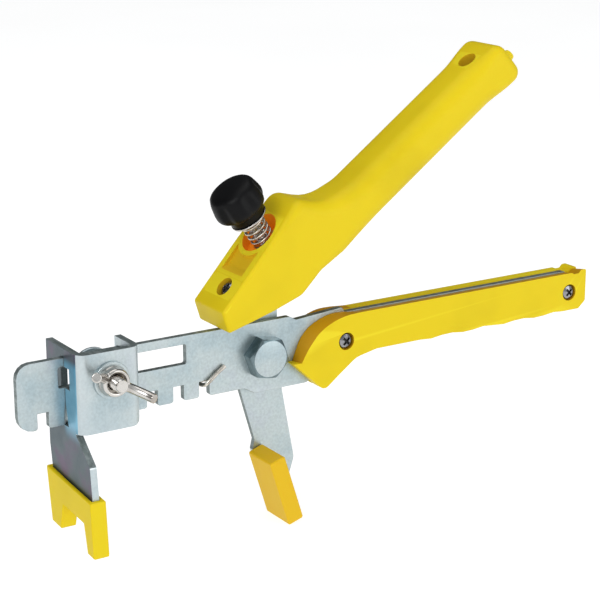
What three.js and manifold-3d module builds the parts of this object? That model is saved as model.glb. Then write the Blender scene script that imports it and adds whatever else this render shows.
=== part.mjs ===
// Tile levelling pliers: a toothed steel plate with a sliding fork jaw at the front and a moulded
// handle at the rear, and a spring-returned lever that carries the pushing foot, the upper handle
// and the tension knob.
// Millimetres, +Z up, +X towards the handles. The origin is on the pivot axis, in the flat front of
// the pivot bolt's head, and +Y points from there through the plate to the far side.
import * as THREE from "three";
import { mergeVertices } from "three/addons/utils/BufferGeometryUtils.js";
import Module from "manifold-3d";

const wasm = await Module();
wasm.setup();

// ---------------------------------------------------------------- driving dimensions
// Pivot stack, in order along +Y
const HEAD_HEIGHT = 6.4;
const HEAD_FLATS = 17;
const HEAD_TWIST = THREE.MathUtils.degToRad(40);
const PIVOT_RADIUS = 5;
const PLATE_THICKNESS = 3;
const PLATE_NEAR = HEAD_HEIGHT;
const PLATE_FAR = PLATE_NEAR + PLATE_THICKNESS;
const LEVER_NEAR = PLATE_FAR + 0.4;
const LEVER_THICKNESS = 2.5;
const LEVER_FAR = LEVER_NEAR + LEVER_THICKNESS;
const BUSH_RADIUS = 6.8;
const BUSH_FAR = 20;
const PIVOT_WASHER_THICKNESS = 1.5;
const PIVOT_NUT_HEIGHT = 7;
const PIVOT_BOLT_END = 30;
const LEVER_HUB = 15.6;
const RUNNING_GAP = 0.08;
const FIT_GAP = 0.3;

// Main plate
const PLATE_FRONT = -114.9;
const PLATE_TOP = 15.3;
const TEETH_BOTTOM = -13.4;
const NOTCH_TOP = -6.4;
const NOTCH_WIDTH = 5;
const NOTCH_PITCH = 12.44;
const NOTCH_COUNT = 7;
const TOOTH_RADIUS = 1.2;
const FIRST_NOTCH = -106.4;
const WINDOW_FRONT = -96.6;
const WINDOW_REAR = -37.7;
const WINDOW_LOW = 2.8;
const WINDOW_HIGH = 11.5;
const TANG_TOP = 12.8;
const TANG_BOTTOM = -2.6;
const TANG_END = 170;

// Lower handle
const GRIP_SIDE = 5.7;
const GRIP_TOP = 13.3;
const TOP_SEAM = 11.9;
const FAR_TOP = 12.9;
const END_NUB = 0.8;
const GRIP_BOTTOM = -5;
const GRIP_END = 177.5;
const WAVE_PITCH = 21;
const WAVE_DEPTH = 0.5;
const GRIP_SCREWS = [[39.7, 1.1], [167.4, 3.8]];
const GRIP_SCREW_RADIUS = 2;

// Lever, foot and upper handle
const FOOT_LEAN = THREE.MathUtils.degToRad(17.3);
const FOOT_TOP = [-6.4, -44];
const FOOT_DEPTH = 7.8;
const FOOT_WIDTH = 19;
const FOOT_LENGTH = 32;
const HANDLE_ANGLE = THREE.MathUtils.degToRad(36);
const HANDLE_POINT = [55.8, 68.6];
const HANDLE_HALF_HEIGHT = 10.2;
const HANDLE_LENGTH = 88;
const HANDLE_WIDTH = 25.6;
const HANDLE_MIDDLE = 9.1;
const HANDLE_BEVEL = 3.2;
const NOSE_TOP = [-25.4, 25.4];
const FACE_ANGLE = THREE.MathUtils.degToRad(51.6);

// Tension screw: its axis starts at the washer under the knob and runs down through the handle
const KNOB_SEAT = [-4.6, 61];
const KNOB_ANGLE = THREE.MathUtils.degToRad(-55);
const KNOB_Y = HANDLE_MIDDLE;
const TAB_SCREW_Y = 7.4;
const KNOB_RADIUS = 11.8;
const KNOB_COLLAR = 8.4;
const KNOB_HEIGHT = 18;
const RECESS_RADIUS = 9.2;
const RECESS_FLOOR = 14.5;
const SCREW_RADIUS = 3;
const SCREW_TIP = 27.5;
const SPRING_RADIUS = 4.9;
const SPRING_WIRE = 0.6;

// Front bracket and fork
const SHEET = 3;
const LEG_FRONT = -93.9;
const WEB_NEAR = -6.8;
const LEG_FAR = 23.2;
const BRACKET_TOP = 19.2;
const WEB_BOTTOM = -14.6;
const REAR_LEG_OUTER = -65.4;
const REAR_LEG_FAR = 11.6;
const BEND_RADIUS = 4.5;
const WEB_CORNER = 5;
const FORK_RISE = THREE.MathUtils.degToRad(4.7);
const FORK_LEAN = THREE.MathUtils.degToRad(6.5);
const FORK_MIDDLE = [2.8, -37.7];
const CAP_DEPTH = 7.1;
const CAP_HEIGHT = 23.8;
const CAP_HALF_WIDTH = 20.9;
const CLAMP_AXIS = [-79.5, 7.2];
const CLAMP_BOLT_END = -17.1;
const CLAMP_RADIUS = 3;
const WING_TILT = THREE.MathUtils.degToRad(-28);
const WING_SPAN = 32.5;
const WING_THICKNESS = 3.8;

// ---------------------------------------------------------------- materials
const ZINC = { color: 0xb9c6cb, roughness: 0.38, metalness: 0.9 };
const NICKEL = { color: 0xc9c6be, roughness: 0.22, metalness: 1 };
const SPRING_STEEL = { color: 0xb4ada0, roughness: 0.3, metalness: 1 };
const YELLOW = { color: 0xdec61c, roughness: 0.42, metalness: 0 };
const BLACK = { color: 0x0d0d0f, roughness: 0.35, metalness: 0 };

const pliers = new THREE.Group();

// ---------------------------------------------------------------- solids and meshes
// A closed geometry as a solid that can be joined and cut
function solid(geometry) {
  const bare = geometry.index ? geometry.toNonIndexed() : geometry.clone();
  bare.deleteAttribute("normal");
  bare.deleteAttribute("uv");
  const merged = mergeVertices(bare, 1e-4);
  return new wasm.Manifold(new wasm.Mesh({
    numProp: 3,
    vertProperties: new Float32Array(merged.attributes.position.array),
    triVerts: new Uint32Array(merged.index.array),
  }));
}

function joined(solids) {
  return solids.reduce((whole, next) => whole.add(next));
}

function cut(body, tools) {
  return tools.reduce((rest, tool) => rest.subtract(tool), body);
}

function add(name, body, look) {
  const { vertProperties, triVerts } = body.getMesh();
  const geometry = new THREE.BufferGeometry();
  geometry.setAttribute("position", new THREE.BufferAttribute(vertProperties, 3));
  geometry.setIndex(new THREE.BufferAttribute(triVerts, 1));
  const flat = geometry.toNonIndexed();
  flat.computeVertexNormals();
  const mesh = new THREE.Mesh(flat, new THREE.MeshStandardMaterial(look));
  mesh.name = name;
  pliers.add(mesh);
}

// ---------------------------------------------------------------- outlines
// Corners are [a, b] or [a, b, radius]; a radius rounds that corner with a short arc
function outline(corners) {
  const points = [];
  corners.forEach(([a, b, radius = 0], i) => {
    const corner = new THREE.Vector2(a, b);
    if (!radius) {
      points.push(corner);
      return;
    }
    const before = corners[(i + corners.length - 1) % corners.length];
    const after = corners[(i + 1) % corners.length];
    const back = new THREE.Vector2(before[0] - a, before[1] - b).normalize();
    const ahead = new THREE.Vector2(after[0] - a, after[1] - b).normalize();
    const half = Math.acos(THREE.MathUtils.clamp(back.dot(ahead), -1, 1)) / 2;
    const reach = radius / Math.tan(half);
    const start = corner.clone().addScaledVector(back, reach);
    const end = corner.clone().addScaledVector(ahead, reach);
    const steps = Math.max(2, Math.ceil((Math.PI - 2 * half) / 0.5));
    for (let k = 0; k <= steps; k += 1) {
      const t = k / steps;
      points.push(arcPoint(start, corner, end, half, t));
    }
  });
  return points;
}

// A point of the fillet between two tangent points, as a rational quadratic curve
function arcPoint(start, corner, end, half, t) {
  const weight = Math.sin(half);
  const a = (1 - t) ** 2;
  const b = 2 * weight * t * (1 - t);
  const c = t ** 2;
  return new THREE.Vector2(
    (a * start.x + b * corner.x + c * end.x) / (a + b + c),
    (a * start.y + b * corner.y + c * end.y) / (a + b + c),
  );
}

// An outline moved outward everywhere by a margin
function grown(points, margin) {
  const sign = THREE.ShapeUtils.area(points) > 0 ? 1 : -1;
  return points.map((point, i) => {
    const before = points[(i + points.length - 1) % points.length];
    const after = points[(i + 1) % points.length];
    const inward = point.clone().sub(before).normalize();
    const onward = after.clone().sub(point).normalize();
    const normal = new THREE.Vector2(inward.y + onward.y, -inward.x - onward.x).normalize();
    const spread = Math.max(0.5, normal.x * inward.y - normal.y * inward.x);
    return point.clone().addScaledVector(normal, (sign * margin) / spread);
  });
}

function circle(a, b, radius, sides = 20) {
  return Array.from({ length: sides }, (_, k) => {
    const turn = (2 * Math.PI * k) / sides;
    return new THREE.Vector2(a + radius * Math.cos(turn), b + radius * Math.sin(turn));
  });
}

// A point in a plane frame: along, then across, from a start point
function placed([a, b], angle, along, across) {
  return [
    a + along * Math.cos(angle) - across * Math.sin(angle),
    b + along * Math.sin(angle) + across * Math.cos(angle),
  ];
}

// ---------------------------------------------------------------- plates and rods
function extruded(points, depth, bevel = 0) {
  const shape = new THREE.Shape(points);
  return new THREE.ExtrudeGeometry(shape, {
    depth: depth - 2 * bevel,
    bevelEnabled: bevel > 0,
    bevelThickness: bevel,
    bevelSize: bevel,
    bevelOffset: -bevel,
    bevelSegments: 2,
  }).translate(0, 0, bevel);
}

// Outline in X and Z, thick along Y
function sideways(points, near, far, bevel = 0) {
  const geometry = extruded(points, far - near, bevel);
  return solid(geometry.rotateX(Math.PI / 2).translate(0, far, 0));
}

// Two outlines in X and Z with as many points each, joined by straight rulings along Y
function ruled(nearPoints, near, farPoints, far) {
  const count = nearPoints.length;
  const position = [];
  nearPoints.forEach((point) => position.push(point.x, near, point.y));
  farPoints.forEach((point) => position.push(point.x, far, point.y));
  const index = [];
  const anticlockwise = THREE.ShapeUtils.area(nearPoints) > 0;
  const push = (a, b, c) => (anticlockwise ? index.push(a, b, c) : index.push(a, c, b));
  THREE.ShapeUtils.triangulateShape(nearPoints, []).forEach(([a, b, c]) => push(a, b, c));
  THREE.ShapeUtils.triangulateShape(farPoints, []).forEach(([a, b, c]) => {
    push(a + count, c + count, b + count);
  });
  for (let i = 0; i < count; i += 1) {
    const next = (i + 1) % count;
    push(next, i, i + count);
    push(next, i + count, next + count);
  }
  const geometry = new THREE.BufferGeometry();
  geometry.setAttribute("position", new THREE.Float32BufferAttribute(position, 3));
  geometry.setIndex(index);
  return solid(geometry);
}

// Outline in Y and Z, thick along X
function facing(points, front, rear, bevel = 0) {
  const geometry = extruded(points, rear - front, bevel);
  const turn = new THREE.Matrix4().makeBasis(
    new THREE.Vector3(0, 1, 0),
    new THREE.Vector3(0, 0, 1),
    new THREE.Vector3(1, 0, 0),
  );
  return solid(geometry.applyMatrix4(turn).translate(front, 0, 0));
}

// Outline in X and Y, thick along Z
function upright(points, low, high) {
  return solid(extruded(points, high - low).translate(0, 0, low));
}

function box(x0, x1, y0, y1, z0, z1) {
  const geometry = new THREE.BoxGeometry(x1 - x0, y1 - y0, z1 - z0);
  return solid(geometry.translate((x0 + x1) / 2, (y0 + y1) / 2, (z0 + z1) / 2));
}

// A turned piece: pairs of [radius, height], the axis placed at a point in a direction
function turned(profile, origin, direction, sides = 24) {
  const points = profile.map(([radius, height]) => new THREE.Vector2(radius, height));
  const geometry = new THREE.LatheGeometry(points, sides);
  const turn = new THREE.Quaternion().setFromUnitVectors(
    new THREE.Vector3(0, 1, 0),
    new THREE.Vector3(...direction).normalize(),
  );
  return solid(geometry.applyQuaternion(turn).translate(...origin));
}

function rod(radius, start, end, sides = 24) {
  const from = new THREE.Vector3(...start);
  const to = new THREE.Vector3(...end);
  const length = from.distanceTo(to);
  const direction = to.clone().sub(from).normalize().toArray();
  return turned([[0, 0], [radius, 0], [radius, length], [0, length]], start, direction, sides);
}

// A hexagon prism across its flats, along a direction; the twist turns it about its axis
function hexagon(flats, start, end, twist = 0) {
  const from = new THREE.Vector3(...start);
  const to = new THREE.Vector3(...end);
  const geometry = new THREE.CylinderGeometry(
    flats / Math.sqrt(3),
    flats / Math.sqrt(3),
    from.distanceTo(to),
    6,
  );
  geometry.rotateY(twist);
  const turn = new THREE.Quaternion().setFromUnitVectors(
    new THREE.Vector3(0, 1, 0),
    to.clone().sub(from).normalize(),
  );
  geometry.applyQuaternion(turn);
  return solid(geometry.translate(...from.add(to).multiplyScalar(0.5).toArray()));
}

// A round wire along a list of points
function wire(points, radius, steps, sides = 8) {
  const path = new THREE.CatmullRomCurve3(points.map((point) => new THREE.Vector3(...point)));
  path.curveType = "centripetal";
  const ring = new THREE.Shape(circle(0, 0, radius, sides));
  return solid(new THREE.ExtrudeGeometry(ring, {
    steps,
    bevelEnabled: false,
    extrudePath: path,
  }));
}

// ---------------------------------------------------------------- main plate
function plateOutline() {
  const corners = [[PLATE_FRONT, TEETH_BOTTOM, 6.5]];
  for (let k = 0; k < NOTCH_COUNT; k += 1) {
    const left = FIRST_NOTCH + k * NOTCH_PITCH;
    corners.push([left, TEETH_BOTTOM, TOOTH_RADIUS]);
    corners.push([left, NOTCH_TOP]);
    corners.push([left + NOTCH_WIDTH, NOTCH_TOP]);
    corners.push([left + NOTCH_WIDTH, TEETH_BOTTOM, TOOTH_RADIUS]);
  }
  corners.push([-9.5, TEETH_BOTTOM], [-4.5, -16.4], [22, -16.4, 3], [31, -12, 3]);
  corners.push([36.5, TANG_BOTTOM, 4], [TANG_END, TANG_BOTTOM, 2], [TANG_END, TANG_TOP, 2]);
  corners.push([42.5, TANG_TOP], [41, 15.1, 1], [17, 13.4, 1], [13.5, PLATE_TOP, 1]);
  corners.push([PLATE_FRONT, PLATE_TOP, 6]);
  return outline(corners);
}

function mainPlate() {
  const body = sideways(plateOutline(), PLATE_NEAR, PLATE_FAR);
  const window = outline([
    [WINDOW_FRONT, WINDOW_LOW, 0.8],
    [WINDOW_REAR, WINDOW_LOW, 0.8],
    [WINDOW_REAR, WINDOW_HIGH, 0.8],
    [WINDOW_FRONT, WINDOW_HIGH, 0.8],
  ]);
  const holes = GRIP_SCREWS.map(([x, z]) => circle(x, z, GRIP_SCREW_RADIUS + 0.25, 16));
  holes.push(window, circle(0, 0, PIVOT_RADIUS + RUNNING_GAP, 32));
  return cut(body, holes.map((hole) => sideways(hole, PLATE_NEAR - 1, PLATE_FAR + 1)));
}

add("main_plate", mainPlate(), ZINC);

// ---------------------------------------------------------------- lower handle
const ARC_OUTER = [[16.4, -5.1], [17.2, -3.6], [19.3, -0.1], [21.9, 3.3], [26.3, 7.7]];
ARC_OUTER.push([32.8, 11.1], [40.2, 12.9]);
const ARC_SEAM = [[14.4, -5], [14.8, -3.5], [16.2, 0.4], [18.4, 5.3], [23.2, 9.9]];
ARC_SEAM.push([31, 13], [38, 13.6]);

// The front arc as a smooth run of points, from the lip up to the straight top
function arcPoints(knots, top) {
  const curve = new THREE.SplineCurve([...knots, [48, top]].map(([x, z]) => new THREE.Vector2(x, z)));
  return curve.getPoints(18);
}

// The handle seen from the side, for one of its front arcs and one height of its top
function lowerGripOutline(arc, top) {
  const corners = [[12.5, -5.3, 0.8], [28, -19.6, 3], [36, -13.6, 8], [45, -7.2, 10]];
  corners.push([56, GRIP_BOTTOM, 8]);
  const waves = 14;
  for (let k = 0; k <= waves; k += 1) {
    const x = 80 + (k * 4 * WAVE_PITCH) / waves;
    corners.push([x, GRIP_BOTTOM - WAVE_DEPTH * Math.sin((2 * Math.PI * (x - 80)) / WAVE_PITCH)]);
  }
  corners.push([GRIP_END - 4, GRIP_BOTTOM, 1], [GRIP_END, -1.5, 1.5], [GRIP_END, top + END_NUB, 1]);
  corners.push([GRIP_END - 3, top + END_NUB, 0.8], [GRIP_END - 4.6, top - END_NUB, 0.6]);
  corners.push([GRIP_END - 7.4, top - END_NUB, 0.6], [GRIP_END - 9, top]);
  const rear = outline([...corners, [72, top], [12.5, -3.8]]).slice(0, -2);
  return [...rear, new THREE.Vector2(72, top), ...arcPoints(arc, top).reverse()];
}

// One half shell: a pocket for the tang, open along the top, and seats for the screws
function lowerGrip(near) {
  const seam = (PLATE_NEAR + PLATE_FAR) / 2 + (near ? -0.05 : 0.05);
  const outer = near ? PLATE_NEAR - GRIP_SIDE : PLATE_FAR + GRIP_SIDE;
  const seamOutline = lowerGripOutline(ARC_SEAM, near ? TOP_SEAM : FAR_TOP);
  const outerOutline = lowerGripOutline(near ? ARC_OUTER : ARC_SEAM, near ? GRIP_TOP : FAR_TOP);
  const grip = near
    ? ruled(outerOutline, outer, seamOutline, seam)
    : ruled(seamOutline, seam, outerOutline, outer);
  const pocket = grown(plateOutline(), FIT_GAP);
  const slot = sideways(pocket, PLATE_NEAR - 0.15, PLATE_FAR + 0.15);
  const opening = box(0, TANG_END - 4, PLATE_NEAR - 0.15, PLATE_FAR + 0.15, 0, 30);
  const frontOpening = box(0, 40, PLATE_NEAR - 0.15, PLATE_FAR + 0.15, -30, 30);
  const seats = GRIP_SCREWS.flatMap(([x, z]) => {
    const bore = rod(GRIP_SCREW_RADIUS + 0.25, [x, -5, z], [x, 30, z], 16);
    const head = rod(4, [x, -5, z], [x, PLATE_NEAR - 3.4, z], 20);
    const nut = hexagon(7.6, [x, PLATE_FAR + 2.2, z], [x, 30, z]);
    return near ? [bore, head] : [bore, nut];
  });
  const hubRoom = rod(LEVER_HUB, [0, PLATE_FAR - 1, 0], [0, LEVER_FAR + 0.5, 0], 36);
  if (!near) seats.push(hubRoom);
  return cut(grip, [slot, opening, frontOpening, ...seats]);
}

add("lower_grip_near", lowerGrip(true), YELLOW);
add("lower_grip_far", lowerGrip(false), YELLOW);

// A cross recess cut into a screw head, along a direction
function crossRecess(width, depth, origin, direction) {
  const bars = [0, Math.PI / 2].map((turn) => {
    const bar = new THREE.BoxGeometry(width, depth * 2, width * 0.26);
    return bar.rotateY(turn + Math.PI / 4);
  });
  const aim = new THREE.Quaternion().setFromUnitVectors(
    new THREE.Vector3(0, 1, 0),
    new THREE.Vector3(...direction).normalize(),
  );
  return joined(bars.map((bar) => solid(bar.applyQuaternion(aim).translate(...origin))));
}

// A pan-head screw: the head's seat is at the origin and the shank runs along the direction
function panScrew(shank, length, head, origin, direction) {
  const profile = [[0, -2.4], [head * 0.55, -2.2], [head * 0.9, -1.5], [head, -0.5], [head, 0]];
  profile.push([shank, 0], [shank, length], [0, length]);
  const body = turned(profile, origin, direction, 20);
  const top = new THREE.Vector3(...direction).multiplyScalar(-2.4).add(new THREE.Vector3(...origin));
  return cut(body, [crossRecess(head * 1.15, 1.3, top.toArray(), direction)]);
}

["front", "rear"].forEach((place, i) => {
  const [x, z] = GRIP_SCREWS[i];
  const seat = PLATE_NEAR - 3.4 - 0.1;
  const screw = panScrew(GRIP_SCREW_RADIUS, 14.4, 3.6, [x, seat, z], [0, 1, 0]);
  add(`lower_grip_screw_${place}`, screw, NICKEL);
  const nut = hexagon(7, [x, PLATE_FAR + 2.3, z], [x, PLATE_FAR + 5.4, z]);
  const bore = rod(GRIP_SCREW_RADIUS + RUNNING_GAP, [x, 0, z], [x, 30, z], 20);
  add(`lower_grip_nut_${place}`, cut(nut, [bore]), NICKEL);
});

// ---------------------------------------------------------------- pivot
function pivotBolt() {
  const head = hexagon(HEAD_FLATS, [0, 0, 0], [0, HEAD_HEIGHT, 0], HEAD_TWIST);
  const chamfer = [[0, 0], [HEAD_FLATS / 2 - 0.5, 0], [HEAD_FLATS / 2 + 1.3, 1.1]];
  chamfer.push([HEAD_FLATS / 2 + 1.3, HEAD_HEIGHT], [0, HEAD_HEIGHT]);
  const shank = rod(PIVOT_RADIUS, [0, HEAD_HEIGHT - 1, 0], [0, PIVOT_BOLT_END, 0], 32);
  return head.intersect(turned(chamfer, [0, 0, 0], [0, 1, 0], 36)).add(shank);
}

function ring(inner, outer, near, far, sides = 32) {
  const profile = [[inner, near], [outer, near], [outer, far], [inner, far], [inner, near]];
  return turned(profile, [0, 0, 0], [0, 1, 0], sides);
}

add("pivot_bolt", pivotBolt(), ZINC);
add("pivot_bush", ring(PIVOT_RADIUS + RUNNING_GAP, BUSH_RADIUS, PLATE_FAR, BUSH_FAR), ZINC);
const washerFar = BUSH_FAR + PIVOT_WASHER_THICKNESS;
add("pivot_washer", ring(PIVOT_RADIUS + RUNNING_GAP, 10, BUSH_FAR, washerFar), ZINC);
const lockNut = hexagon(HEAD_FLATS, [0, washerFar, 0], [0, washerFar + PIVOT_NUT_HEIGHT, 0]);
const nutBore = rod(PIVOT_RADIUS + RUNNING_GAP, [0, 0, 0], [0, 40, 0], 32);
add("pivot_nut", cut(lockNut, [nutBore]), ZINC);

// Torsion spring round the bush: one leg hooks through the rear notch onto the plate's near face,
// the other ends in a hole of the lever
const COIL_RADIUS = 9;
const COIL_WIRE = 0.95;
const COIL_PITCH = 1.95;
const COIL_TURNS = 2.75;
const COIL_NEAR = LEVER_FAR + 1.1;
const SPRING_HOLE = [-4.6, -12.4];
const NOTCH_MIDDLE = FIRST_NOTCH + 6 * NOTCH_PITCH + NOTCH_WIDTH / 2;

function returnSpring() {
  const points = [
    [-19.8, PLATE_NEAR - 1.15, -0.9],
    [NOTCH_MIDDLE + 1.6, PLATE_NEAR - 1.2, -6.6],
    [NOTCH_MIDDLE, PLATE_NEAR + 0.4, NOTCH_TOP - 1.9],
    [NOTCH_MIDDLE - 0.6, PLATE_FAR + 1.6, NOTCH_TOP - 1.9],
    [NOTCH_MIDDLE + 3, COIL_NEAR, NOTCH_TOP - 2],
  ];
  const start = 1.5 * Math.PI;
  const steps = 33;
  for (let k = 0; k <= steps; k += 1) {
    const turn = start + (2 * Math.PI * COIL_TURNS * k) / steps;
    const y = COIL_NEAR + (COIL_PITCH * COIL_TURNS * k) / steps;
    points.push([COIL_RADIUS * Math.cos(turn), y, COIL_RADIUS * Math.sin(turn)]);
  }
  const last = points[points.length - 1];
  points.push([last[0] - 0.5, last[1], -9], [-7.4, last[1] - 1.5, -13]);
  points.push([SPRING_HOLE[0], LEVER_FAR + 2.5, SPRING_HOLE[1] - 0.5]);
  points.push([SPRING_HOLE[0], LEVER_FAR + 0.6, SPRING_HOLE[1]]);
  points.push([SPRING_HOLE[0], LEVER_NEAR + 0.4, SPRING_HOLE[1]]);
  return wire(points, COIL_WIRE, 96, 7);
}

add("return_spring", returnSpring(), SPRING_STEEL);

// ---------------------------------------------------------------- lever
// Distances along the knob's axis from its seat, and along and off the slanted front face
const alongScrew = (along, across = 0) => placed(KNOB_SEAT, KNOB_ANGLE, along, across);
const onFace = (along, depth = 0) => placed(NOSE_TOP, FACE_ANGLE, along, -depth);
const onHandle = (along, across = 0) => placed(HANDLE_POINT, HANDLE_ANGLE, along, across);
const inFoot = (down, across) => placed(FOOT_TOP, FOOT_LEAN - Math.PI / 2, down, across);

const FACE_TAB_DEPTH = 8.6;
const HANDLE_TAB_LOW = -1.2;
const FLANGE_ACROSS = 2.6;

function leverOutline() {
  return outline([
    [...onFace(4, FACE_TAB_DEPTH), 1],
    [-8.5, 24, 3],
    [-14.5, 6, 6],
    [-10.6, -12, 4],
    [-2.7, -39.2],
    inFoot(0.6, FLANGE_ACROSS),
    inFoot(FOOT_LENGTH - 3, FLANGE_ACROSS),
    [13.5, -64, 4],
    [17.6, -51.4, 4],
    [11.4, -17.5, 6],
    [15.2, 2, 8],
    [9.3, 13, 3],
    [9.3, 25.5],
    [14, 29.3],
    [...onHandle(-31, -8.2), 4],
    [...onHandle(74, -7), 2],
    [...onHandle(78, HANDLE_TAB_LOW + LEVER_THICKNESS), 2],
    [...onHandle(-14, HANDLE_TAB_LOW + LEVER_THICKNESS), 4],
    alongScrew(RECESS_FLOOR + 2, 12.5),
    alongScrew(RECESS_FLOOR + 2, 6.4),
    alongScrew(RECESS_FLOOR + 10, 6.4),
    alongScrew(RECESS_FLOOR + 10, 4),
    alongScrew(RECESS_FLOOR + 19, 4),
    alongScrew(RECESS_FLOOR + 19, -4),
    alongScrew(RECESS_FLOOR + 10, -4),
    alongScrew(RECESS_FLOOR + 10, -6.4),
    alongScrew(RECESS_FLOOR + 2, -6.4),
    onFace(20, FACE_TAB_DEPTH),
  ]);
}

// Tabs bent from the lever towards the near side, under the two handle screws
function leverTab(from, to, turn, low) {
  const corners = [turn(from, low), turn(to, low)];
  corners.push(turn(to, low + LEVER_THICKNESS), turn(from, low + LEVER_THICKNESS));
  return corners.map(([x, z]) => new THREE.Vector2(x, z));
}

const faceTab = () => leverTab(4, 17, onFace, FACE_TAB_DEPTH);
const handleTab = () => leverTab(62, 77, onHandle, HANDLE_TAB_LOW);
const footFlange = () => leverTab(2.4, FOOT_LENGTH - 3, inFoot, FLANGE_ACROSS);
const TAB_NEAR = 0.6;
const FLANGE_NEAR = -7.2;

// The two screws of the upper handle: head seat and direction, in X and Z
const FACE_SCREW = { seat: onFace(10.8, 4), aim: FACE_ANGLE - Math.PI / 2, length: 9 };
const HANDLE_SCREW = { seat: onHandle(71.8, 4), aim: HANDLE_ANGLE - Math.PI / 2, length: 8 };
const UPPER_SCREW_RADIUS = 2;

function screwLine({ seat, aim }, from, to, radius) {
  const [x0, z0] = placed(seat, aim, from, 0);
  const [x1, z1] = placed(seat, aim, to, 0);
  return rod(radius, [x0, TAB_SCREW_Y, z0], [x1, TAB_SCREW_Y, z1], 20);
}

function lever() {
  const plate = sideways(leverOutline(), LEVER_NEAR, LEVER_FAR);
  const tabs = [faceTab(), handleTab()].map((tab) => sideways(tab, TAB_NEAR, LEVER_FAR));
  const flange = sideways(footFlange(), FLANGE_NEAR, LEVER_FAR);
  const bore = rod(BUSH_RADIUS + RUNNING_GAP, [0, 0, 0], [0, 30, 0], 32);
  const [hx, hz] = SPRING_HOLE;
  const springHole = rod(COIL_WIRE + 0.35, [hx, 0, hz], [hx, 30, hz], 12);
  const screwHoles = [FACE_SCREW, HANDLE_SCREW].map((screw) => screwLine(screw, -4, 14, 2.3));
  return cut(joined([plate, flange, ...tabs]), [bore, springHole, ...screwHoles]);
}

add("lever", lever(), ZINC);

// ---------------------------------------------------------------- foot cap
function footCap() {
  const corners = [inFoot(0, 0), inFoot(FOOT_LENGTH, 0), inFoot(FOOT_LENGTH, FOOT_DEPTH)];
  corners.push(inFoot(0, FOOT_DEPTH));
  const rounded = outline(corners.map((corner) => [...corner, 1]));
  const cap = sideways(rounded, LEVER_NEAR - 0.4 - FOOT_WIDTH, LEVER_NEAR - 0.4, 0.6);
  const socket = sideways(grown(footFlange(), FIT_GAP), FLANGE_NEAR - FIT_GAP, LEVER_FAR);
  return cut(cap, [socket]);
}

add("foot_cap", footCap(), YELLOW);

// ---------------------------------------------------------------- upper handle
function upperGripOutline() {
  return outline([
    NOSE_TOP,
    [-22.4, 15.7],
    [-0.3, 22],
    [14.3, 27.1, 5],
    [24.6, 36.2, 8],
    [...onHandle(-30, -HANDLE_HALF_HEIGHT), 10],
    [...onHandle(HANDLE_LENGTH, -HANDLE_HALF_HEIGHT), 4.5],
    [...onHandle(HANDLE_LENGTH - 2, HANDLE_HALF_HEIGHT), 4.5],
    [...onHandle(-9, HANDLE_HALF_HEIGHT), 14],
    [28, 64.8, 12],
    [12, 69, 6],
  ]);
}

function upperGrip() {
  const near = HANDLE_MIDDLE - HANDLE_WIDTH / 2;
  const far = HANDLE_MIDDLE + HANDLE_WIDTH / 2;
  const body = sideways(upperGripOutline(), near, far, HANDLE_BEVEL);
  const nub = onHandle(HANDLE_LENGTH - 3, -4.5);
  const stub = rod(2.6, [nub[0], HANDLE_MIDDLE, nub[1]], onNub(nub), 16);
  const pocket = sideways(grown(leverOutline(), FIT_GAP), LEVER_NEAR - FIT_GAP, LEVER_FAR + FIT_GAP);
  const tabs = [faceTab(), handleTab()].map((tab) => {
    return sideways(grown(tab, FIT_GAP), TAB_NEAR - FIT_GAP, LEVER_FAR);
  });
  const seats = [FACE_SCREW, HANDLE_SCREW].flatMap((screw) => [
    screwLine(screw, -14, 0, 4.3),
    screwLine(screw, -1, screw.length + 1.5, UPPER_SCREW_RADIUS + 0.2),
  ]);
  const recess = screwRod(-20, RECESS_FLOOR, RECESS_RADIUS);
  const bore = screwRod(0, RECESS_FLOOR + 20, SCREW_RADIUS + 0.3);
  const nutPocket = nutAlongScrew(10.4, RECESS_FLOOR + 3.2, RECESS_FLOOR + 9);
  return cut(body.add(stub), [pocket, ...tabs, ...seats, recess, bore, nutPocket]);
}

// The outer end of the round stub on the handle's end
function onNub([x, z]) {
  const [x1, z1] = placed([x, z], HANDLE_ANGLE, 8, 0);
  return [x1, HANDLE_MIDDLE, z1];
}

function screwRod(from, to, radius, sides = 28) {
  const [x0, z0] = alongScrew(from);
  const [x1, z1] = alongScrew(to);
  return rod(radius, [x0, KNOB_Y, z0], [x1, KNOB_Y, z1], sides);
}

function nutAlongScrew(flats, from, to) {
  const [x0, z0] = alongScrew(from);
  const [x1, z1] = alongScrew(to);
  return hexagon(flats, [x0, KNOB_Y, z0], [x1, KNOB_Y, z1]);
}

add("upper_grip", upperGrip(), YELLOW);

Object.entries({ front: FACE_SCREW, rear: HANDLE_SCREW }).forEach(([place, screw]) => {
  const [x, z] = placed(screw.seat, screw.aim, -0.2, 0);
  const direction = [Math.cos(screw.aim), 0, Math.sin(screw.aim)];
  const body = panScrew(UPPER_SCREW_RADIUS, screw.length, 3.8, [x, TAB_SCREW_Y, z], direction);
  add(`upper_grip_screw_${place}`, body, NICKEL);
});

// ---------------------------------------------------------------- tension screw and knob
const screwDirection = [Math.cos(KNOB_ANGLE), 0, Math.sin(KNOB_ANGLE)];
const seatPoint = [KNOB_SEAT[0], KNOB_Y, KNOB_SEAT[1]];

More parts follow.
